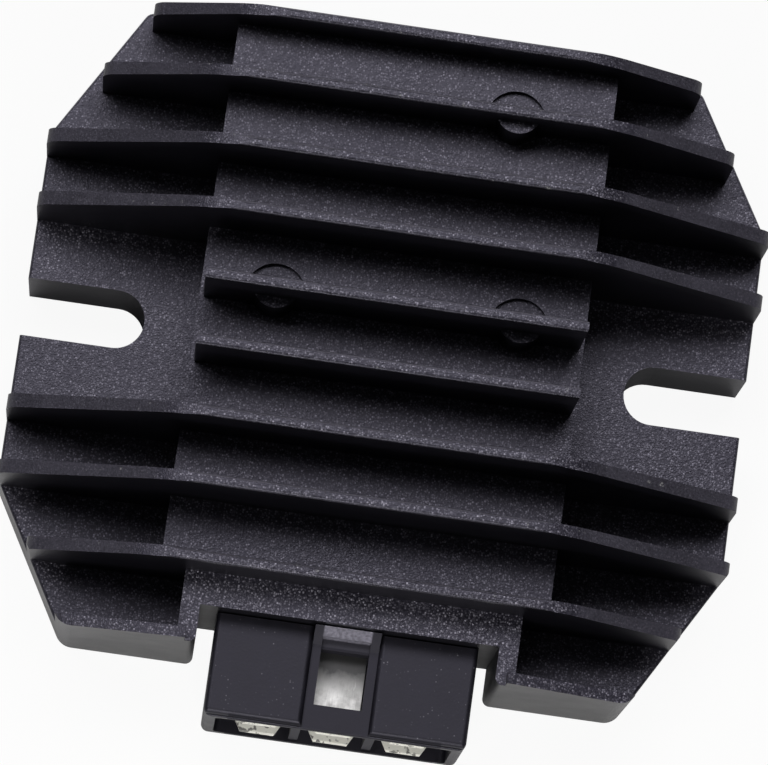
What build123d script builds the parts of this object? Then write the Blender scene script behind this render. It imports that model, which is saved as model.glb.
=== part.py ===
from build123d import *
import os
from math import hypot, radians, tan

# Voltage regulator rectifier: finned casting with a built-in six-blade socket.
# Origin: midway between the two bolt slots, on the mounting plane. X runs along the fins,
# +Y points away from the socket, +Z points to the fin tips. Millimetres throughout.

# Casting outline, seen from above
half_width = 43.2
rear_y = 37.8
front_y = -38.15
rear_corner_x = 33.6
rear_chamfer_y = 21.3
front_corner_x = 33.3
front_chamfer_y = -21.0
corner_radius = 1.2
front_corner_radius = 2.2

# Levels above the mounting plane
flange_top = 11.0
block_top = 20.0
fin_top = 30.0

# Socket housing
housing_half = 15.4
housing_bottom = 0.4
housing_top = 16.5
housing_reach = 7.7
housing_gap = 0.15
mouth_wall = 1.5
mouth_bottom_wall = 1.2
mouth_top_wall = 1.9
mouth_depth = 9.65
mouth_radius = 0.8
channel_half = 3.9
channel_depth = 0.8
collar_length = 0.25
collar_radius = 0.2
pad_edge_radius = 0.6
ramp_length = 2.05
ramp_height = 2.5
window_half = 2.83
window_length = 6.65
rib_thickness = 1.1
rib_recess = 0.3
tail_inset = 2.0
tail_half = housing_half - tail_inset
tail_bottom = 1.0
tail_top = 14.8
tail_clearance = 0.15
tail_length = 5.6
ledge_depth = 0.7
ledge_length = 1.3

# Three equal blades across the mouth, in two rows
blade_margin = 2.4
blade_spacing = 3.25
blade_width = 2 * (housing_half - mouth_wall - blade_margin - blade_spacing) / 3
blade_pitch = blade_width + blade_spacing
blade_taper = 0.75
blade_thickness = 0.8
blade_recess = 0.15
lower_blade_z = 3.8
upper_blade_z = 11.9
leg_width = 3.0
lower_leg_run = 2.4
upper_leg_run = 6.0
leg_stub = 0.6

# Notch for the socket
notch_clearance = 2.1
notch_half = housing_half + notch_clearance
notch_depth = 4.45
notch_radius = 0.9

# Raised block, and the narrower part of it that runs beside the socket
block_half_width = 22.75
rim_wall = 2.25
rim_half_width = notch_half + rim_wall

# Long fins from rear to front: (centre position, level of the crest, half length of its level part)
long_fins = ((36.38, 25.3, 20.5), (28.08, 27.4, 23.0), (19.44, 29.3, 22.5), (11.58, fin_top, 22.5),
             (-12.88, fin_top, 22.5), (-20.71, fin_top, 22.5), (-29.07, 26.3, 23.5))
# The two short fins on the block
short_fin_y = (3.18, -4.68)
fin_tip = 1.3
fin_draft = 1.0
fin_fall = 0.545
fin_end_radius = 2.4
rear_fin_inset = 1.5
fin_bend_radius = 14.0
short_fin_inset = 0.4
short_fin_half = block_half_width - short_fin_inset
stub_inner_top = 22.6
stub_outer_top = 18.6
stub_radius = 1.6
edge_radius = 0.4

# Round ejector marks beside three of the fins, each with a half-round pad on the fin's socket side:
# (x, fin that it stands on, distance of its centre behind the fin)
mark_radius = 3.6
mark_depth = 0.8
pad_radius = 2.75
pad_top = 25.0
marks = ((-14.0, short_fin_y[0], 0.75), (14.8, short_fin_y[0], 0.75), (11.3, long_fins[1][0], 0.65))

# Open bolt slots for M6 screws
slot_centre_x = 32.3
slot_radius = 3.5

# Hollow below the block, and the wall ribs that the board bears on
side_wall = 3.25
rear_wall = 6.8
front_wall = 2.5
cavity_half = block_half_width - side_wall
cavity_rear_y = rear_y - rear_wall
cavity_front_y = front_y + notch_depth + front_wall
cavity_top = 15.5
cavity_radius = 3.0
post_radius = 1.9
post_rear_setback = 5.5
post_front_setback = 12.2
post_y = (cavity_front_y + post_front_setback, cavity_rear_y - post_rear_setback)

# Potting, board and insulating sheet
resin_bottom = 0.6
resin_top = 4.0
board_bottom = 4.2
board_thickness = 1.6
board_gap = 0.8
fit = 0.1
sheet_thickness = 0.3
sheet_margin = 0.3

# Power packages, two rows of three against the roof of the hollow
package_margin = 2.5
package_spacing = 2.0
package_width = 2 * (cavity_half - package_margin - package_spacing) / 3
package_pitch = package_width + package_spacing
package_length = 9.2
package_thickness = 4.4
rear_row_setback = 10.0
row_pitch = 17.0
rear_row_y = cavity_rear_y - rear_row_setback
front_row_y = rear_row_y - row_pitch
tab_length = 3.4
tab_thickness = 1.4
tab_hole_radius = 1.1
lead_width = 0.9
lead_thickness = 0.5
lead_pitch = 2.54
lead_drop = 2.2
lead_level = 2.0

# Small parts on the board
chip_x = -0.49 * cavity_half
chip_y = -12.55
chip_length = 8.8
chip_width = 3.9
chip_height = 1.45
chip_standoff = 0.15
chip_pin_pitch = 1.27
chip_pin_width = 0.4
chip_pin_reach = 1.05
chip_pin_height = 0.35
capacitor_x = 0.49 * cavity_half
capacitor_y = -14.0
capacitor_radius = 3.15
capacitor_height = 8.0
groove_height = 1.1
groove_width = 0.5
groove_depth = 0.3
resistor_x = 0.03 * cavity_half
resistor_y = (-9.0, -12.0, -15.0)
resistor_length = 4.4
resistor_radius = 0.95
zener_x = -0.46 * cavity_half
zener_y = 12.0
zener_length = 3.8
zener_radius = 0.9
wire_half = 0.3
wire_reach = 1.3
wire_rise = 0.15
transistor_y = -5.6
transistor_radius = 2.3
transistor_flat = 1.3
transistor_height = 4.3
transistor_leg = 1.6
transistor_leg_half = 0.22
transistor_leg_pitch = 1.27


def box(x0, x1, y0, y1, z0, z1):
    return Pos((x0 + x1) / 2, (y0 + y1) / 2, (z0 + z1) / 2) * Box(x1 - x0, y1 - y0, z1 - z0)


def corner(shape, x, y):
    return sorted(shape.vertices(), key=lambda v: hypot(v.X - x, v.Y - y))[0]


def prism(points, z0, z1, radius=0.0):
    face = Polygon(*points, align=None)
    if radius:
        face = fillet(face.vertices(), radius)
    return Pos(0, 0, z0) * extrude(face, z1 - z0)


def outline_face():
    points = [(-rear_corner_x, rear_y), (-half_width, rear_chamfer_y), (-half_width, front_chamfer_y),
              (-front_corner_x, front_y), (front_corner_x, front_y), (half_width, front_chamfer_y),
              (half_width, rear_chamfer_y), (rear_corner_x, rear_y)]
    face = Polygon(*points, align=None)
    face = fillet([corner(face, s * front_corner_x, front_y) for s in (-1, 1)], front_corner_radius)
    others = [p for p in points if p[1] != front_y]
    return fillet([corner(face, x, y) for x, y in others], corner_radius)


def half_length_at(y):
    # half length of a fin at y: up to the outline, or a little short of it between the rear corners
    if y > rear_chamfer_y:
        share = (y - rear_chamfer_y) / (rear_y - rear_chamfer_y)
        return half_width + share * (rear_corner_x - half_width) - rear_fin_inset
    if y < front_chamfer_y:
        share = (y - front_chamfer_y) / (front_y - front_chamfer_y)
        return half_width + share * (front_corner_x - half_width)
    return half_width


def fin_section(y, foot, top):
    # drafted cross-section with a softly rounded crest, in the Y-Z plane
    lean = tan(radians(fin_draft)) * (top - foot)
    half = fin_tip / 2
    face = Polygon((y - half - lean, foot), (y + half + lean, foot), (y + half, top), (y - half, top),
                   align=None)
    return fillet([corner(face, y + s * half, top) for s in (-1, 1)], edge_radius)


def long_fin(y, foot, top, level_half):
    half = half_length_at(y)
    end_top = top - fin_fall * (half - level_half)
    side = Polygon((-half, foot), (half, foot), (half, end_top), (level_half, top),
                   (-level_half, top), (-half, end_top), align=None)
    side = fillet([corner(side, s * half, end_top) for s in (-1, 1)], fin_end_radius)
    side = fillet([corner(side, s * level_half, top) for s in (-1, 1)], fin_bend_radius)
    bar = extrude(Plane.YZ * fin_section(y, foot, top), half, both=True)
    # the crest rounding follows the fall of the fin towards its ends
    return bar & extrude(Plane.XZ.offset(-y) * side, 4, both=True)


def short_fin(y, foot):
    bar = extrude(Plane.YZ * fin_section(y, foot, fin_top), short_fin_half, both=True)
    ends = RectangleRounded(2 * short_fin_half, 3.2, 1.4)
    return bar & Pos(0, y, foot) * extrude(ends, fin_top - foot)


def stub_fin(side):
    # low fin on the socket edge, from the rim strip to the outline corner
    inner, outer = side * (rim_half_width - 1.0), side * (front_corner_x + 0.9)
    face = Polygon((inner, flange_top - 1), (outer, flange_top - 1), (outer, stub_outer_top),
                   (inner, stub_inner_top), align=None)
    face = fillet([corner(face, outer, stub_outer_top)], stub_radius)
    return extrude(Plane.XZ.offset(-front_y) * face, fin_tip, both=True)


def cavity_corners():
    return [(-cavity_half, cavity_front_y), (cavity_half, cavity_front_y), (cavity_half, cavity_rear_y),
            (-cavity_half, cavity_rear_y)]


def heat_sink():
    outline = outline_face()
    body = extrude(outline, flange_top)
    body = fillet(body.faces().sort_by(Axis.Z)[-1].edges(), edge_radius)
    first_y, last_y = long_fins[-1][0], long_fins[0][0]
    block = box(-block_half_width, block_half_width, first_y, last_y, flange_top - 1, block_top)
    rim = box(-rim_half_width, rim_half_width, front_y, first_y, flange_top - 1, block_top)
    body += block
    body += rim
    for x, y, offset in marks:
        body -= Pos(x, y + offset, block_top - mark_depth) * extrude(Circle(mark_radius), mark_depth + 1)
    for y, top, level_half in long_fins:
        body += long_fin(y, flange_top - 0.5, top, level_half)
    for y in short_fin_y:
        body += short_fin(y, block_top - mark_depth - 0.2)
    for side in (-1, 1):
        body += stub_fin(side)
    for x, y, offset in marks:
        foot = block_top - mark_depth - 0.2
        pad = Pos(x, y + offset, foot) * extrude(Circle(pad_radius), pad_top - foot)
        body += pad & box(x - pad_radius, x + pad_radius, y - 2 * pad_radius, y, foot, pad_top)
    body = body & extrude(outline, fin_top)

    # open slots, a round seat joined to the edge
    for side in (-1, 1):
        seat = Pos(side * slot_centre_x, 0, -1) * extrude(Circle(slot_radius), flange_top + 2)
        run = sorted((side * slot_centre_x, side * (half_width + 2)))
        body -= seat + box(run[0], run[1], -slot_radius, slot_radius, -1, flange_top + 1)

    # notch for the socket, rounded where it meets the edge
    notch_y = front_y + notch_depth
    body -= box(-notch_half, notch_half, front_y - 1, notch_y, -1, block_top + 1)
    mouth_edges = [e for e in body.edges().filter_by(Axis.Z)
                   if abs(abs(e.center().X) - notch_half) < 0.01 and abs(e.center().Y - front_y) < 0.01]
    body = fillet(mouth_edges, notch_radius)

    # hollow below the block, open at the mounting plane, with four wall ribs that the board bears on
    hollow = prism(cavity_corners(), -1, cavity_top, cavity_radius)
    body -= hollow
    body -= box(-tail_half - tail_clearance, tail_half + tail_clearance, notch_y - 1, cavity_front_y + 1,
                -1, tail_top + tail_clearance)
    for side in (-1, 1):
        for y in post_y:
            foot = board_bottom + board_thickness
            rib = Pos(side * (cavity_half - 0.1), y, foot)
            body += rib * extrude(Circle(post_radius), cavity_top + 0.5 - foot)
    return body


def housing():
    notch_y = front_y + notch_depth
    back = notch_y - housing_gap
    mouth_y = front_y - housing_reach
    shell = box(-housing_half, housing_half, mouth_y, back, housing_bottom, housing_top)
    shell = fillet(shell.edges().filter_by(Axis.Z).group_by(Axis.Y)[0], 0.9)

    # two raised pads beside the latch channel, set back from the front edge
    deck = housing_top - channel_depth
    shell -= box(-channel_half, channel_half, mouth_y - 1, back, deck, housing_top + 1)
    shell -= box(-housing_half, housing_half, mouth_y - 1, mouth_y + collar_length, deck, housing_top + 1)
    pad_edges = [e for e in shell.edges() if e.center().Z > housing_top - 0.01 and e.center().Y < back - 0.1]
    shell = fillet(pad_edges, pad_edge_radius)
    front_edge = [e for e in shell.edges().filter_by(Axis.X)
                  if abs(e.center().Z - deck) < 0.01 and abs(e.center().Y - mouth_y) < 0.01]
    shell = fillet(front_edge, collar_radius)
    tail_y = back + tail_length
    shell += box(-tail_half, tail_half, back - 0.5, tail_y, tail_bottom, tail_top)

    # open mouth with two dividing ribs
    inner_half = housing_half - mouth_wall
    low, high = housing_bottom + mouth_bottom_wall, housing_top - mouth_top_wall
    floor_y = mouth_y + mouth_depth
    mouth = box(-inner_half, inner_half, mouth_y - 1, floor_y, low, high)
    mouth = fillet(mouth.edges().filter_by(Axis.Y), mouth_radius)
    for side in (-1, 1):
        x = side * blade_pitch / 2
        mouth -= box(x - rib_thickness / 2, x + rib_thickness / 2, mouth_y + rib_recess, floor_y, low, high)
    shell -= mouth

    # ramp that closes the latch channel, the window in front of it and the ledge between them
    profile = Polygon((back - ramp_length, deck), (back, deck + ramp_height), (back, deck - 0.5),
                      (back - ramp_length, deck - 0.5), align=None)
    shell += extrude(Plane.YZ * profile, channel_half, both=True)
    shell -= box(-window_half, window_half, floor_y - window_length, floor_y, high - 0.5, housing_top)
    shell -= box(-window_half, window_half, floor_y - 0.1, floor_y + ledge_length, deck - ledge_depth,
                 deck + ramp_height)

    # passages for the blade legs
    for column in (-1, 0, 1):
        for z in (lower_blade_z, upper_blade_z):
            x = column * blade_pitch
            half, thick = (leg_width + fit) / 2, (blade_thickness + fit) / 2
            shell -= box(x - half, x + half, floor_y - 0.5, tail_y + 1, z - thick, z + thick)
    return shell


def leg_bend_y(level):
    tail_y = front_y + notch_depth - housing_gap + tail_length
    return tail_y + (lower_leg_run if level == lower_blade_z else upper_leg_run)


def terminal(column, level):
    # tapered blade, a narrower leg through the housing, and its bent foot in the board
    x = column * blade_pitch
    mouth_y = front_y - housing_reach
    tip_y, root_y = mouth_y + blade_recess, mouth_y + mouth_depth
    half, tip = blade_width / 2, blade_width / 2 - blade_taper
    shoulder_y = tip_y + 1.75 * blade_taper
    low, high = level - blade_thickness / 2, level + blade_thickness / 2
    blade = prism([(x - tip, tip_y), (x + tip, tip_y), (x + half, shoulder_y), (x + half, root_y),
                   (x - half, root_y), (x - half, shoulder_y)], low, high)
    blade = chamfer(blade.edges().filter_by(Axis.X).group_by(Axis.Y)[0], 0.2)
    bend = leg_bend_y(level)
    leg = box(x - leg_width / 2, x + leg_width / 2, root_y - 0.5, bend + blade_thickness / 2, low, high)
    board_top = board_bottom + board_thickness
    foot_end = (low, board_top + leg_stub) if level < board_bottom else (board_bottom + fit, high)
    foot = box(x - leg_width / 2, x + leg_width / 2, bend - blade_thickness / 2, bend + blade_thickness / 2,
               foot_end[0], foot_end[1])
    return blade + leg + foot


def lead_y(y):
    # where the leads of the package row at y drop into the board
    return y - package_length / 2 - lead_drop


def power_package(x, y):
    # plastic package held against the roof, with a drilled tab towards the rear and three bent leads
    top = cavity_top - sheet_thickness
    low = top - package_thickness
    front, rear = y - package_length / 2, y + package_length / 2
    case = box(x - package_width / 2, x + package_width / 2, front, rear, low, top)
    case = chamfer(case.faces().sort_by(Axis.Z)[0].edges(), 0.5)
    tab = box(x - package_width / 2 + 0.2, x + package_width / 2 - 0.2, rear - 0.2, rear + tab_length,
              top - tab_thickness, top)
    tab -= Pos(x, rear + tab_length / 2, top - 2 * tab_thickness) * extrude(Circle(tab_hole_radius),
                                                                            3 * tab_thickness)
    case += tab
    drop = lead_y(y)
    level = low + lead_level
    for k in (-1, 0, 1):
        lx = x + k * lead_pitch
        arm = box(lx - lead_width / 2, lx + lead_width / 2, drop - lead_thickness / 2, front + 0.3,
                  level - lead_thickness / 2, level + lead_thickness / 2)
        pin = box(lx - lead_width / 2, lx + lead_width / 2, drop - lead_thickness / 2,
                  drop + lead_thickness / 2, board_bottom + fit, level)
        case += arm + pin
    return case


def columns():
    return [k * package_pitch for k in (-1, 0, 1)]


def board_limits():
    notch_y = front_y + notch_depth
    tail_y = notch_y - housing_gap + tail_length
    return tail_y + 0.5, cavity_rear_y - board_gap


def circuit_board():
    y0, y1 = board_limits()
    half = cavity_half - board_gap
    low, high = board_bottom, board_bottom + board_thickness
    board = prism([(-half, y0), (half, y0), (half, y1), (-half, y1)], low, high, cavity_radius - board_gap)
    for y in (rear_row_y, front_row_y):
        for x in columns():
            for k in (-1, 0, 1):
                hole = Pos(x + k * lead_pitch, lead_y(y), low - 1)
                board -= hole * extrude(Rectangle(lead_width + 2 * fit, lead_thickness + 2 * fit),
                                        board_thickness + 2)
    for level in (lower_blade_z, upper_blade_z):
        for column in (-1, 0, 1):
            hole = Pos(column * blade_pitch, leg_bend_y(level), low - 1)
            board -= hole * extrude(Rectangle(leg_width + 2 * fit, blade_thickness + 2 * fit),
                                    board_thickness + 2)
    return board


def insulating_sheet():
    front = front_row_y - package_length / 2 - 5 * sheet_margin
    rear = min(rear_row_y + package_length / 2 + tab_length + 0.8, cavity_rear_y - 0.5)
    half = package_pitch + package_width / 2 + sheet_margin
    return box(-half, half, front, rear, cavity_top - sheet_thickness, cavity_top)


def control_chip():
    high = board_bottom + board_thickness
    low = high + chip_standoff
    case = box(chip_x - chip_length / 2, chip_x + chip_length / 2, chip_y - chip_width / 2,
               chip_y + chip_width / 2, low, low + chip_height)
    case = chamfer(case.edges().group_by(Axis.Z)[-1], 0.25)
    for k in range(-3, 4):
        x = chip_x + k * chip_pin_pitch
        for side in (-1, 1):
            ys = sorted(chip_y + side * (chip_width / 2 + d) for d in (-0.05, chip_pin_reach))
            case += box(x - chip_pin_width / 2, x + chip_pin_width / 2, ys[0], ys[1], high,
                        high + chip_pin_height)
    return case


def filter_capacitor():
    # can with a rolled groove near its foot
    place = Pos(capacitor_x, capacitor_y, board_bottom + board_thickness)
    can = place * extrude(Circle(capacitor_radius), capacitor_height)
    can = chamfer(can.edges().group_by(Axis.Z)[-1], 0.4)
    ring = extrude(Circle(capacitor_radius + 1), groove_width)
    ring -= extrude(Circle(capacitor_radius - groove_depth), groove_width)
    return can - place * Pos(0, 0, groove_height) * ring


def axial_part(x, y, length, radius):
    # round body lying along X with a wire at each end that drops to the board
    high = board_bottom + board_thickness
    axis_z = high + radius + wire_rise
    body = Pos(x, y, axis_z) * Rot(0, 90, 0) * Cylinder(radius, length)
    body = chamfer(body.edges().filter_by(GeomType.CIRCLE), radius * 0.3)
    for side in (-1, 1):
        reach = sorted(x + side * (length / 2 + d) for d in (-wire_half, wire_reach))
        body += box(reach[0], reach[1], y - wire_half, y + wire_half, axis_z - wire_half,
                    axis_z + wire_half)
        end = x + side * (length / 2 + wire_reach - wire_half)
        body += box(end - wire_half, end + wire_half, y - wire_half, y + wire_half, high, axis_z)
    return body


def gate_resistors():
    bodies = [axial_part(resistor_x, y, resistor_length, resistor_radius) for y in resistor_y]
    return Compound(children=bodies)


def zener_diode():
    return axial_part(zener_x, zener_y, zener_length, zener_radius)


def driver_transistors():
    # small half-round packages with three legs, one for each phase
    high = board_bottom + board_thickness
    low = high + transistor_leg
    units = []
    for x in columns():
        disc = Pos(x, transistor_y, low) * extrude(Circle(transistor_radius), transistor_height)
        flat = transistor_y - transistor_flat
        unit = disc - box(x - 2 * transistor_radius, x + 2 * transistor_radius, flat - transistor_radius,
                          flat, low - 1, low + transistor_height + 1)
        for k in (-1, 0, 1):
            leg_x = x + k * transistor_leg_pitch
            half = transistor_leg_half
            unit += box(leg_x - half, leg_x + half, transistor_y - half, transistor_y + half, high, low + 0.4)
        units.append(unit)
    return Compound(children=units)


def potting_resin():
    notch_y = front_y + notch_depth
    tail_y = notch_y - housing_gap + tail_length
    fill = prism(cavity_corners(), resin_bottom, resin_top, cavity_radius)
    fill -= box(-tail_half - fit, tail_half + fit, cavity_front_y - 1, tail_y + fit, -1, resin_top + 1)
    # room over the lower row of legs
    span = blade_pitch + leg_width / 2 + 0.3
    fill -= box(-span, span, tail_y - 0.1, leg_bend_y(lower_blade_z) + blade_thickness / 2 + 0.3,
                lower_blade_z - blade_thickness / 2 - fit, resin_top + 1)
    return fill


pieces = {
    "heat_sink": heat_sink(),
    "connector_housing": housing(),
    "circuit_board": circuit_board(),
    "insulating_sheet": insulating_sheet(),
    "control_chip": control_chip(),
    "filter_capacitor": filter_capacitor(),
    "gate_resistors": gate_resistors(),
    "zener_diode": zener_diode(),
    "driver_transistors": driver_transistors(),
    "potting_resin": potting_resin(),
}
for name, column in (("left", -1), ("centre", 0), ("right", 1)):
    pieces["terminal_upper_" + name] = terminal(column, upper_blade_z)
    pieces["terminal_lower_" + name] = terminal(column, lower_blade_z)
    pieces["thyristor_" + name] = power_package(column * package_pitch, rear_row_y)
    pieces["diode_" + name] = power_package(column * package_pitch, front_row_y)

os.makedirs("parts", exist_ok=True)
for name, shape in pieces.items():
    export_step(shape, "parts/" + name + ".step")
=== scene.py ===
import bpy
from mathutils import Matrix, Vector


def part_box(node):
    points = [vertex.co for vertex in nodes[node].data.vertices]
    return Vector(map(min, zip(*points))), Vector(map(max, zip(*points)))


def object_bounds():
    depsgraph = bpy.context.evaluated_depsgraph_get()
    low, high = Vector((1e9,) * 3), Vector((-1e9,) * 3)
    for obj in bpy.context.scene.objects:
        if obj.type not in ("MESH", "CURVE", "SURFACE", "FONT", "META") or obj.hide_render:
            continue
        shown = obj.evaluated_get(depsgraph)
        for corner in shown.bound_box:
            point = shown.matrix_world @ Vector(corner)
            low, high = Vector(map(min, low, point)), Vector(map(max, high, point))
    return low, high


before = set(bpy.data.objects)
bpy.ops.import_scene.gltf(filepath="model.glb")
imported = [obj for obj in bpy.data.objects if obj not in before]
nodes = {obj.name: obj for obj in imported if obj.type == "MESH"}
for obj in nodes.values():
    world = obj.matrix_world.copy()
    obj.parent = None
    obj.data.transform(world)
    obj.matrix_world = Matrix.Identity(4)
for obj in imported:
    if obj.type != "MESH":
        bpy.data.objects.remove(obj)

cadBox = [list(map(float, corner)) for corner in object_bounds()]
millimetre = 0.001
print("frame loaded:", len(nodes), "nodes")


class Wire:
    # a socket that can be used in sums; numbers and other wires mix freely
    def __init__(self, kit, socket):
        self.kit, self.socket = kit, socket

    def __add__(self, other):
        return self.kit.maths("ADD", self, other)

    def __radd__(self, other):
        return self.kit.maths("ADD", other, self)

    def __sub__(self, other):
        return self.kit.maths("SUBTRACT", self, other)

    def __rsub__(self, other):
        return self.kit.maths("SUBTRACT", other, self)

    def __mul__(self, other):
        return self.kit.maths("MULTIPLY", self, other)

    def __rmul__(self, other):
        return self.kit.maths("MULTIPLY", other, self)

    def __pow__(self, other):
        return self.kit.maths("POWER", self, other)


class Finish:
    # one material and its node tree
    def __init__(self, name):
        self.material = bpy.data.materials.new(name)
        self.material.use_nodes = True
        self.tree = self.material.node_tree
        self.tree.nodes.clear()
        self.output = self.tree.nodes.new("ShaderNodeOutputMaterial")
        self.place = self.node("ShaderNodeTexCoord")["Object"]

    def join(self, value, socket):
        # link a wire, or set a plain value, where a colour of three numbers is made opaque
        if isinstance(value, Wire):
            self.tree.links.new(value.socket, socket)
        elif value is not None:
            opaque = socket.type == "RGBA" and len(value) == 3
            socket.default_value = (*value, 1.0) if opaque else value

    def node(self, kind, settings=None, **sockets):
        # settings are set first; a socket is given by its name, or by i and its number
        made = self.tree.nodes.new(kind)
        for key, value in (settings or {}).items():
            setattr(made, key, value)
        for key, value in sockets.items():
            numbered = key[0] == "i" and key[1:].isdigit()
            self.join(value, made.inputs[int(key[1:]) if numbered else key.replace("_", " ")])
        return {out.name: Wire(self, out) for out in made.outputs if out.enabled}

    def maths(self, operation, first, second=0.0):
        return self.node("ShaderNodeMath", {"operation": operation}, i0=first, i1=second)["Value"]

    def ramp(self, value, low, high, start=0.0, end=1.0):
        # straight change from start to end while value goes from low to high
        return self.node("ShaderNodeMapRange", {"clamp": True}, Value=value, From_Min=low, From_Max=high,
                         To_Min=start, To_Max=end)["Result"]

    def past(self, value, limit, blur):
        # 0 below the limit and 1 above it, and the other way round where blur is negative
        return self.ramp(value, limit - blur, limit + blur)

    def noise(self, size, detail, rough, where=None, seed=0.0):
        # size is that of the pattern's patches, in metres
        made = self.node("ShaderNodeTexNoise", {"noise_dimensions": "4D"}, Vector=where or self.place,
                         W=seed, Scale=1.0 / size, Detail=detail, Roughness=rough)
        return made["Fac"]

    def cells(self, size, draw="X"):
        # distance from the middle of the cell, and one of the cell's three random numbers
        made = self.node("ShaderNodeTexVoronoi", None, Vector=self.place, Scale=1.0 / size, Randomness=1.0)
        return made["Distance"], self.axis(made["Color"], draw)

    def mix(self, factor, first, second):
        return self.node("ShaderNodeMix", {"data_type": "RGBA"}, i0=factor, i6=first, i7=second)["Result"]

    def axis(self, vector, name):
        return self.node("ShaderNodeSeparateXYZ", None, Vector=vector)[name]

    def stretch(self, scale, turn=0.0):
        # Object coordinates turned about Z, and drawn out along Y by a scale below 1
        return self.node("ShaderNodeMapping", None, Vector=self.place, Rotation=(0.0, 0.0, turn),
                         Scale=(1.0, scale, 1.0))["Vector"]

    def bump(self, height, distance, under=None):
        return self.node("ShaderNodeBump", None, Height=height, Distance=distance, Strength=1.0,
                         Normal=under)["Normal"]

    def surface(self, **sockets):
        shader = self.node("ShaderNodeBsdfPrincipled", None, **sockets)["BSDF"]
        self.join(shader, self.output.inputs["Surface"])
        return self.material


def paint(names, material):
    for name in names:
        data = nodes[name].data
        data.materials.clear()
        data.materials.append(material)


# Powder coat over the die casting: bluish black, grainy on level faces and smooth on upright ones; upright
# faces take a far darker colour and sloped faces fewer grains, as painted shade.
# A band gives the two values between which a mask goes from 0 to 1.
casting = {
    # painted shade: the very dark colour that upright faces take
    "wall": (0.0030, 0.0028, 0.0042),
    "dark": (0.006, 0.0055, 0.009),
    "pale": (0.032, 0.030, 0.043),
    "dot": (0.52, 0.50, 0.60),
    # painted highlight on bevels facing the rear
    "edge": (0.125, 0.120, 0.145),
    "scuff": (0.34, 0.34, 0.34),
    "specularTint": (0.84, 0.82, 1.0),
    "levelBand": (0.30, 0.85),  # this and the next three: share of the normal along Z, 0 on upright faces
    "flatBand": (0.90, 1.0),
    "edgeBand": (0.45, 0.60),
    "edgeEndBand": (0.93, 0.86),
    "rearBand": (-0.2, 0.4),  # share of the normal along Y, towards the rear
    "edgeLeast": 0.6,  # strength of the bevels' colour where the grain is dark
    "grainSize": 0.26 * millimetre,
    "grainBand": (0.36, 0.64),
    "grainShare": 0.6,
    "patchSize": 7 * millimetre,
    "patchBand": (0.35, 0.65),
    "dotSize": 0.235 * millimetre,
    "beadBand": (0.65, 0.10),  # from a cell's rim to its middle
    "dullGrains": (0.55, 1.6),  # share, and power of the random number
    "brightGrains": (0.45, 14.0),
    # share of grains kept on sloped faces; fewer grains there is painted shade
    "slopeDots": 0.15,
    "crestFrom": 22.5 * millimetre,  # above this only fin crests are level
    "crestBlur": 0.3 * millimetre,
    "scuffSize": 1.1 * millimetre,
    "scuffBand": (0.64, 0.70),
    "scuffShare": 0.7,
    "scuffRoughness": 0.15,
    "wallRoughness": 0.33,
    "levelRoughness": 0.42,
    "patchRoughness": 0.06,
    "reliefHeight": 0.034 * millimetre,
    "grainRelief": 0.5,
    "beadRelief": 0.6,
    "wallRelief": 0.28,
}


def powderCoat():
    coat = Finish("powderCoat")
    outward = coat.node("ShaderNodeNewGeometry")["True Normal"]
    facing = coat.maths("ABSOLUTE", coat.axis(outward, "Z"))
    height = coat.axis(coat.place, "Z")
    level = coat.ramp(facing, *casting["levelBand"])
    flat = coat.ramp(facing, *casting["flatBand"])
    # bevelled edges on the light's side, painted paler as a painted highlight
    edge = coat.ramp(facing, *casting["edgeBand"]) * coat.ramp(facing, *casting["edgeEndBand"])
    edge = edge * coat.ramp(coat.axis(outward, "Y"), *casting["rearBand"])
    grain = coat.noise(casting["grainSize"], detail=1.0, rough=0.5)
    cloud = coat.noise(casting["patchSize"], detail=3.0, rough=0.6, seed=3.0)
    patch = coat.ramp(cloud, *casting["patchBand"])
    # one grain in each cell, from dull to bright by the cell's random number, and very bright in a few
    spread, number = coat.cells(casting["dotSize"])
    bead = coat.ramp(spread, *casting["beadBand"])
    (dullShare, dullPower), (brightShare, brightPower) = casting["dullGrains"], casting["brightGrains"]
    dots = bead * (dullShare * number ** dullPower + brightShare * number ** brightPower)
    # fewer grains on sloped and upright faces, painted shade that keeps them darker than level faces
    dots = dots * (level * casting["slopeDots"] + flat * (1 - casting["slopeDots"]))
    # coat rubbed thin in small spots along the fin crests
    spots = coat.noise(casting["scuffSize"], detail=4.0, rough=0.7, seed=21.0)
    crest = coat.ramp(height, casting["crestFrom"], casting["crestFrom"] + casting["crestBlur"])
    scuff = coat.ramp(spots, *casting["scuffBand"]) * level * crest
    tone = coat.ramp(grain, *casting["grainBand"]) * casting["grainShare"]
    tone = tone + patch * (1 - casting["grainShare"])
    # upright faces take the painted-shade colour, level faces the grain's tones
    colour = coat.mix(level, casting["wall"], coat.mix(tone, casting["dark"], casting["pale"]))
    edge = edge * (casting["edgeLeast"] + (1 - casting["edgeLeast"]) * tone)
    colour = coat.mix(edge, colour, casting["edge"])
    colour = coat.mix(dots, colour, casting["dot"])
    colour = coat.mix(scuff * casting["scuffShare"], colour, casting["scuff"])
    rough = coat.ramp(level, 0.0, 1.0, casting["wallRoughness"], casting["levelRoughness"])
    rough = rough + (patch - 0.5) * casting["patchRoughness"] + scuff * casting["scuffRoughness"]
    relief = grain * casting["grainRelief"] + bead * casting["beadRelief"]
    relief = relief * (level * (1 - casting["wallRelief"]) + casting["wallRelief"])
    return coat.surface(Base_Color=colour, Roughness=rough, Specular_Tint=casting["specularTint"],
                        Normal=coat.bump(relief, casting["reliefHeight"]))


paint(["heat_sink"], powderCoat())
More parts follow.
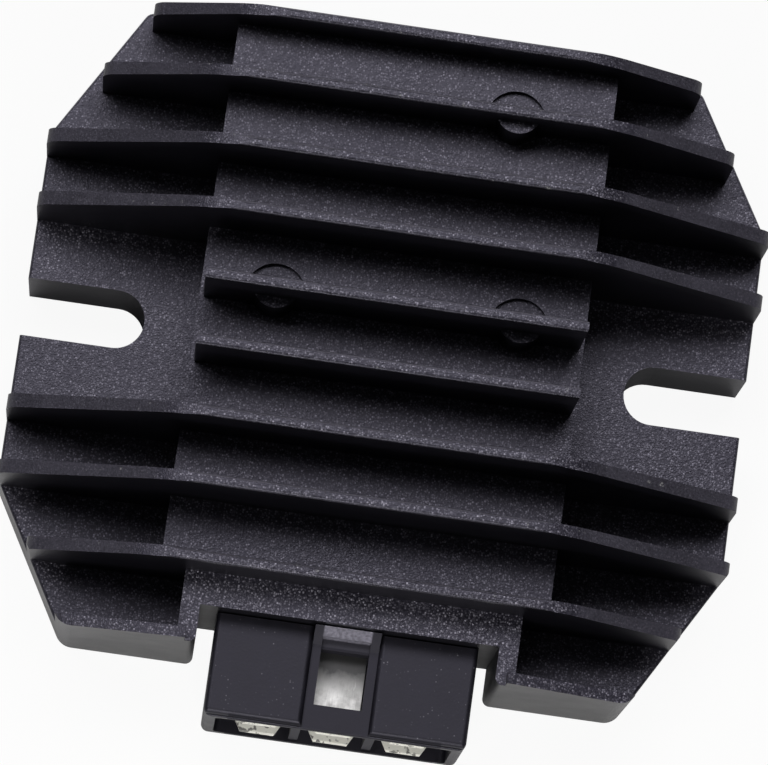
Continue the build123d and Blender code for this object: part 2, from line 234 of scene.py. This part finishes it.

# Moulded plug socket: satin plastic with dust on the two pads, a dull mouth, a smooth latch channel whose
# ramp and ledge are painted paler as painted light, and a grainy bar at the ramp's top painted pale as a
# painted reflection of the floor in front
housingLow, housingHigh = (Vector(corner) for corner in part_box("connector_housing"))
socket = {
    "colour": (0.0030, 0.0028, 0.0046),
    "pale": (0.0090, 0.0086, 0.0130),
    "dust": (0.17, 0.165, 0.19),
    # painted light: paler colour on the ramp and the window's ledge, which lie in the bar's shade
    "ramp": (0.036, 0.035, 0.044),
    # painted reflection: the bar is pale as if showing the bright floor in front
    "bar": (0.29, 0.28, 0.345),
    "specularTint": (0.84, 0.82, 1.0),
    "padRoughness": 0.50,
    "lowRoughness": 0.46,
    "channelRoughness": 0.56,
    "mouthRoughness": 0.95,
    "cloudRoughness": 0.08,
    "padFrom": housingHigh.z - 1.95 * millimetre,
    "upperFrom": housingHigh.z - 3.5 * millimetre,  # below the channel's floor and the window's ledge
    "channelHalf": 3.9 * millimetre,
    "barHalf": 2.83 * millimetre,
    "rampFrom": housingLow.y + 9.95 * millimetre,
    "barFrom": housingLow.y + 10.9 * millimetre,
    "mouthHalf": 12.5 * millimetre,
    "mouthBand": (-0.5, -0.8),  # share of the normal along Y, negative towards the front
    "maskBlur": 0.08 * millimetre,
    "cloudSize": 3.0 * millimetre,
    "cloudBand": (0.35, 0.7),
    "dustSize": 0.42 * millimetre,
    "dustBand": (0.70, 0.95),  # of the cell's random number
    "speckBand": (0.26, 0.08),
    "dustCloudBand": (0.40, 0.60),
    "dustOffPads": 0.1,
    "roughnessBand": (0.3, 0.7),
    "fineSize": 0.30 * millimetre,
    "fineHeight": 0.010 * millimetre,
    "barGrainSize": 0.40 * millimetre,
    "barGrainBand": (0.35, 0.65),
    "barGrainHeight": 0.07 * millimetre,
    "barLeast": 0.55,
}


def socketPlastic():
    skin = Finish("socketPlastic")
    across, along, height = (skin.axis(skin.place, name) for name in "XYZ")
    facing = skin.axis(skin.node("ShaderNodeNewGeometry")["True Normal"], "Y")
    side = skin.maths("ABSOLUTE", across)
    blur = socket["maskBlur"]
    pad = skin.past(height, socket["padFrom"], blur)
    upper = skin.past(height, socket["upperFrom"], blur)
    channel = skin.past(side, socket["channelHalf"], -blur)
    slope = channel * upper * skin.past(along, socket["rampFrom"], blur)
    bar = skin.past(side, socket["barHalf"], -blur) * upper * skin.past(along, socket["barFrom"], blur)
    mouth = skin.past(side, socket["mouthHalf"], -blur) * skin.ramp(facing, *socket["mouthBand"])
    cloud = skin.noise(socket["cloudSize"], detail=4.0, rough=0.6)
    fine = skin.noise(socket["fineSize"], detail=2.0, rough=0.5, seed=2.0)
    grain = skin.noise(socket["barGrainSize"], detail=1.0, rough=0.5, seed=4.0)
    # dust: a small pale speck in the few cells whose random number is high
    spread, number = skin.cells(socket["dustSize"])
    dust = skin.ramp(number, *socket["dustBand"]) * skin.ramp(spread, *socket["speckBand"])
    dust = dust * skin.ramp(cloud, *socket["dustCloudBand"])
    dust = dust * (pad * (1 - socket["dustOffPads"]) + socket["dustOffPads"])
    barTone = socket["barLeast"] + (1 - socket["barLeast"]) * skin.ramp(grain, *socket["barGrainBand"])
    colour = skin.mix(skin.ramp(cloud, *socket["cloudBand"]), socket["colour"], socket["pale"])
    colour = skin.mix(dust, colour, socket["dust"])
    # the ramp and ledge take the paler colour, painted light
    colour = skin.mix(slope, colour, socket["ramp"])
    # the bar's pale colour, a painted reflection, broken by its grain
    colour = skin.mix(bar * barTone, colour, socket["bar"])
    low = skin.ramp(channel, 0.0, 1.0, socket["lowRoughness"], socket["channelRoughness"])
    rough = low + pad * (socket["padRoughness"] - low) + mouth * (socket["mouthRoughness"] - low)
    rough = rough + (skin.ramp(cloud, *socket["roughnessBand"]) - 0.5) * socket["cloudRoughness"]
    relief = skin.bump(fine, socket["fineHeight"])
    relief = skin.bump(grain * bar, socket["barGrainHeight"], under=relief)
    return skin.surface(Base_Color=colour, Roughness=rough, Normal=relief,
                        Specular_Tint=socket["specularTint"])


paint(["connector_housing"], socketPlastic())

# Tinned blades: soft streaks along the blade, smears, a few scratches, a tip painted near-white as painted
# light with a few dark marks, and painted shade that darkens the blade towards the root
blade = {
    "dull": (0.34, 0.34, 0.33),
    "bright": (0.84, 0.84, 0.82),
    # painted shade of the housing over the blade towards the root; also the colour of the tip's dark marks
    "tarnish": (0.085, 0.085, 0.087),
    "scratch": (0.95, 0.95, 0.93),
    # painted light: the near-white colour of the blades' tips
    "tip": (0.92, 0.91, 0.85),
    "tipTo": housingLow.y + 1.9 * millimetre,
    "tipBlur": 0.3 * millimetre,
    "tipMetal": 0.2,  # share of metal in the tip, whose near-white colour is painted light
    "tipRoughness": 0.10,
    "cleanTo": housingLow.y + 4.9 * millimetre,
    "tarnishFrom": housingLow.y + 7.6 * millimetre,
    "tarnishWander": 3.0 * millimetre,
    "tarnishRoughness": 0.08,
    "streakSize": 0.14 * millimetre,
    "streakScale": 0.10,
    "streakBand": (0.3, 0.7),
    "streakRoughness": 0.12,
    "smearSize": 1.6 * millimetre,
    "smearBand": (0.36, 0.64),
    "smearShare": 0.75,
    "scratchSize": 0.55 * millimetre,
    "scratchScale": 0.22,
    "scratchTurn": 0.9,
    "scratchBand": (0.62, 0.67),
    "scratchShare": 0.8,
    "markSize": 0.9 * millimetre,
    "markBand": (0.56, 0.62),
    "markShare": 0.85,
    "roughness": 0.46,
    "reliefHeight": 0.006 * millimetre,
}


def tinnedBlade():
    tin = Finish("tinnedBlade")
    along = tin.axis(tin.place, "Y")
    streak = tin.noise(blade["streakSize"], detail=3.0, rough=0.6, where=tin.stretch(blade["streakScale"]))
    smear = tin.noise(blade["smearSize"], detail=4.0, rough=0.62, seed=5.0)
    lines = tin.noise(blade["scratchSize"], detail=3.0, rough=0.6, seed=13.0,
                      where=tin.stretch(blade["scratchScale"], blade["scratchTurn"]))
    scratch = tin.ramp(lines, *blade["scratchBand"])
    mark = tin.ramp(tin.noise(blade["markSize"], detail=2.0, rough=0.6, seed=17.0), *blade["markBand"])
    # darker towards the root, painted shade
    root = tin.ramp(along + (smear - 0.5) * blade["tarnishWander"], blade["cleanTo"], blade["tarnishFrom"])
    tip = tin.ramp(along, blade["tipTo"], blade["tipTo"] - blade["tipBlur"])
    brushed = tin.ramp(streak, *blade["streakBand"])
    tone = tin.ramp(smear, *blade["smearBand"]) * blade["smearShare"] + brushed * (1 - blade["smearShare"])
    colour = tin.mix(tone, blade["dull"], blade["bright"])
    colour = tin.mix(scratch * blade["scratchShare"], colour, blade["scratch"])
    colour = tin.mix(root, colour, blade["tarnish"])
    # the tip's painted-light colour, with a few dark marks
    worn = tin.mix(mark * blade["markShare"], blade["tip"], blade["tarnish"])
    colour = tin.mix(tip, colour, worn)
    rough = blade["roughness"] + (brushed - 0.5) * blade["streakRoughness"]
    rough = rough + root * blade["tarnishRoughness"] + tip * blade["tipRoughness"]
    return tin.surface(Base_Color=colour, Metallic=1 - tip * (1 - blade["tipMetal"]), Roughness=rough,
                       Normal=tin.bump(streak - scratch, blade["reliefHeight"]))


paint([name for name in nodes if name.startswith("terminal_")], tinnedBlade())

# Cast resin that fills the underside: glossy black, slightly wavy, with a few small bubbles
resin = {
    "colour": (0.008, 0.008, 0.009),
    "pale": (0.030, 0.030, 0.033),
    "waveSize": 9 * millimetre,
    "waveHeight": 0.25 * millimetre,
    "hazeSize": 1.5 * millimetre,
    "hazeBand": (0.35, 0.7),
    "bubbleSize": 2.2 * millimetre,
    "bubbleBand": (0.86, 0.90),  # of the cell's random number
    "bubbleRimBand": (0.16, 0.08),
    "bubbleDepth": 0.10 * millimetre,
    "bubbleRoughness": 0.2,
    "glossBand": (0.3, 0.7),
    "roughness": (0.14, 0.26),
}


def pottingResin():
    fill = Finish("pottingResin")
    wave = fill.noise(resin["waveSize"], detail=2.0, rough=0.5)
    haze = fill.noise(resin["hazeSize"], detail=4.0, rough=0.65, seed=6.0)
    spread, number = fill.cells(resin["bubbleSize"], draw="Y")
    bubble = fill.ramp(number, *resin["bubbleBand"]) * fill.ramp(spread, *resin["bubbleRimBand"])
    colour = fill.mix(fill.ramp(haze, *resin["hazeBand"]), resin["colour"], resin["pale"])
    rough = fill.ramp(haze, *resin["glossBand"], *resin["roughness"]) + bubble * resin["bubbleRoughness"]
    relief = fill.bump(wave, resin["waveHeight"])
    relief = fill.bump(bubble, -resin["bubbleDepth"], under=relief)
    return fill.surface(Base_Color=colour, Roughness=rough, Normal=relief)


paint(["potting_resin"], pottingResin())

# Small pieces under the resin, by how their nodes' names start: each has a cloudy finish of two tones
hiddenPieces = {
    "boardLaminate": {"names": ("circuit_board",), "roughness": 0.35, "patchSize": 1 * millimetre,
                      "colour": (0.012, 0.060, 0.022), "pale": (0.018, 0.085, 0.032)},
    "insulatingSheet": {"names": ("insulating_sheet",), "roughness": 0.7, "patchSize": 2 * millimetre,
                        "colour": (0.32, 0.32, 0.31), "pale": (0.38, 0.38, 0.37)},
    "mouldedEpoxy": {"names": ("control_chip", "driver_transistors", "zener_diode", "thyristor_", "diode_"),
                     "roughness": 0.55, "patchSize": 0.4 * millimetre,
                     "colour": (0.012, 0.012, 0.012), "pale": (0.020, 0.020, 0.020)},
    "capacitorSleeve": {"names": ("filter_capacitor",), "roughness": 0.3, "patchSize": 1 * millimetre,
                        "colour": (0.012, 0.020, 0.075), "pale": (0.016, 0.026, 0.09)},
    "resistorLacquer": {"names": ("gate_resistors",), "roughness": 0.4, "patchSize": 0.5 * millimetre,
                        "colour": (0.38, 0.27, 0.15), "pale": (0.44, 0.32, 0.19)},
}
hiddenFinish = {
    "cloudBand": (0.3, 0.7),
    "cloudShare": 0.7,
    "speckScale": 0.2,  # size of the specks, as a share of the patches'
    "speckBand": (0.4, 0.6),
    "roughnessSpread": 0.05,
    "reliefHeight": 0.02 * millimetre,
}


def hiddenLook(name, piece):
    part = Finish(name)
    cloud = part.noise(piece["patchSize"], detail=3.0, rough=0.6)
    speck = part.noise(piece["patchSize"] * hiddenFinish["speckScale"], detail=1.0, rough=0.5, seed=7.0)
    cloudShare, spread = hiddenFinish["cloudShare"], hiddenFinish["roughnessSpread"]
    tone = part.ramp(cloud, *hiddenFinish["cloudBand"]) * cloudShare
    tone = tone + part.ramp(speck, *hiddenFinish["speckBand"]) * (1 - cloudShare)
    rough = part.ramp(cloud, *hiddenFinish["cloudBand"], piece["roughness"] + spread,
                      piece["roughness"] - spread)
    relief = part.bump(cloud * cloudShare + speck * (1 - cloudShare), hiddenFinish["reliefHeight"])
    return part.surface(Base_Color=part.mix(tone, piece["colour"], piece["pale"]), Roughness=rough,
                        Normal=relief)


for name, piece in hiddenPieces.items():
    paint([node for node in nodes if node.startswith(piece["names"])], hiddenLook(name, piece))
print("materials done")

# Camera at the photograph's angle, from the point where its upright lines meet and the slope of the fins
view = {
    "focalPixels": 5000.0,
    "centre": (384.0, 382.5),
    "uprightMeet": (88.0, 1340.0),
    "finSlope": 0.1437,
    "anchorPixel": (360.0, 330.0),
    "anchorDistance": 606 * millimetre,
    "anchorPlace": (-3.05 * millimetre, 5.2 * millimetre, 0.0),
    "sensor": 36.0,
    "width": 768.0,
    "clip": (0.01, 20.0),
}


def placeCamera():
    # the part's axes as directions to the camera's right, down and forward
    focal, (middleX, middleY), slope = view["focalPixels"], view["centre"], view["finSlope"]
    meetX, meetY = view["uprightMeet"]
    up = -Vector((meetX - middleX, meetY - middleY, focal)).normalized()
    along = Vector((1.0, slope, -(up.x + up.y * slope) / up.z)).normalized()
    away = up.cross(along)
    toPart = Matrix((along, away, up))
    # the anchor's place is seen at its pixel from its distance, which gives the camera's seat
    anchorX, anchorY = view["anchorPixel"]
    reach = view["anchorDistance"]
    anchor = Vector(((anchorX - middleX) / focal * reach, (anchorY - middleY) / focal * reach, reach))
    seat = Vector(view["anchorPlace"]) - toPart @ anchor
    right, lower, forward = (Vector(row) for row in toPart.transposed())
    data = bpy.data.cameras.new("camera")
    data.sensor_width = view["sensor"]
    data.lens = view["sensor"] * focal / view["width"]
    data.clip_start, data.clip_end = view["clip"]
    camera = bpy.data.objects.new("camera", data)
    bpy.context.scene.collection.objects.link(camera)
    turned = Matrix((right, -lower, -forward)).transposed()
    camera.matrix_world = Matrix.Translation(seat) @ turned.to_4x4()
    bpy.context.scene.camera = camera


placeCamera()

floorSheet = {
    "drop": 0.2 * millimetre,
    "half": 3.0,
    "colour": (0.78, 0.78, 0.78),
    "glow": (1.0, 1.0, 1.0),
    "seen": 0.93,  # share of the glow that the camera sees
    "gloss": 0.06,  # share of the glow that glossy reflections see beside the casting
    "fade": 1 * millimetre,
}
partMiddle = (0.0, 0.0, 0.01)
lamps = {  # places and sizes in metres, powers in watts
    "key": {"place": (-0.12, 0.40, 1.0), "target": partMiddle, "size": (1.05, 0.36), "power": 7.4,
            "colour": (0.99, 0.975, 1.0)},
    "front": {"place": (0.05, -0.75, 0.62), "target": partMiddle, "size": (0.90, 0.35), "power": 0.5,
              "colour": (1.0, 0.99, 0.97)},
    "kicker": {"place": (-0.01, -0.135, 0.10), "target": (0.0, -0.045, 0.008), "size": (0.07, 0.03),
               "power": 0.10, "colour": (1.0, 0.99, 0.95)},  # near the blades' tips, in front of them
    "rear": {"place": (0.35, 1.0, 0.45), "target": partMiddle, "size": (0.80, 0.45), "power": 2.0,
             "colour": (0.98, 0.98, 1.0)},
    "below": {"place": (0.3, -0.4, -1.0), "target": partMiddle, "size": (0.90, 0.90), "power": 6.0,
              "colour": (1.0, 1.0, 1.0)},
}
backdrop = {"colour": (1.0, 1.0, 1.0, 1.0), "light": 0.03, "seen": 1.0}


def layFloor():
    # the floor's mesh is one level square a little below the part, half its side from the middle each way
    half, z = floorSheet["half"], cadBox[0][2] - floorSheet["drop"]
    data = bpy.data.meshes.new("floor")
    corners = [(-half, -half, z), (half, -half, z), (half, half, z), (-half, half, z)]
    data.from_pydata(corners, [], [(0, 1, 2, 3)])
    floor = bpy.data.objects.new("floor", data)
    bpy.context.scene.collection.objects.link(floor)
    floor.data.materials.append(floorPaper())


def floorPaper():
    paper = Finish("floorPaper")
    path = paper.node("ShaderNodeLightPath")
    # 1 below the casting, and 0 beside it; reflections see no glow below the casting, a painted shadow
    # under it
    low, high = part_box("heat_sink")
    shares = []
    for name, start, end in zip("XY", low, high):
        fromMiddle = paper.maths("ABSOLUTE", paper.axis(paper.place, name) - (start + end) / 2)
        half = (end - start) / 2
        shares.append(paper.ramp(fromMiddle, half, half - floorSheet["fade"]))
    beneath = shares[0] * shares[1]
    seen = path["Is Camera Ray"] * floorSheet["seen"]
    seen = seen + path["Is Glossy Ray"] * (1 - beneath) * floorSheet["gloss"]
    lit = paper.node("ShaderNodeBsdfDiffuse", None, Color=floorSheet["colour"])["BSDF"]
    glow = paper.node("ShaderNodeEmission", None, Color=floorSheet["glow"], Strength=1.0)["Emission"]
    sheet = paper.node("ShaderNodeMixShader", None, i0=seen, i1=lit, i2=glow)["Shader"]
    # the sheet is clear from below and to the lamp below, so that the underside can be looked at
    away = paper.node("ShaderNodeNewGeometry")["Backfacing"]
    clear = paper.node("ShaderNodeBsdfTransparent")["BSDF"]
    oneWay = paper.maths("MAXIMUM", away, path["Is Shadow Ray"])
    paper.join(paper.node("ShaderNodeMixShader", None, i0=oneWay, i1=sheet, i2=clear)["Shader"],
               paper.output.inputs["Surface"])
    return paper.material


def hangLamp(name, lamp):
    data = bpy.data.lights.new(name, "AREA")
    data.shape = "RECTANGLE"
    data.size, data.size_y = lamp["size"]
    data.energy, data.color = lamp["power"], lamp["colour"]
    hung = bpy.data.objects.new(name, data)
    bpy.context.scene.collection.objects.link(hung)
    hung.location = lamp["place"]
    aim = Vector(lamp["target"]) - Vector(lamp["place"])
    hung.rotation_euler = aim.to_track_quat("-Z", "Y").to_euler()


def lightWorld():
    # the camera sees white behind the part, while the part is lit by the weak value
    world = bpy.data.worlds.new("studio")
    bpy.context.scene.world = world
    world.use_nodes = True
    tree = world.node_tree
    background = tree.nodes["Background"]
    background.inputs["Color"].default_value = backdrop["colour"]
    seen = tree.nodes.new("ShaderNodeLightPath").outputs["Is Camera Ray"]
    strength = tree.nodes.new("ShaderNodeMapRange")
    strength.inputs["To Min"].default_value = backdrop["light"]
    strength.inputs["To Max"].default_value = backdrop["seen"]
    tree.links.new(seen, strength.inputs["Value"])
    tree.links.new(strength.outputs["Result"], background.inputs["Strength"])


layFloor()
for name, lamp in lamps.items():
    hangLamp(name, lamp)
lightWorld()
bpy.context.scene.view_settings.view_transform = "Standard"
print("stage done")
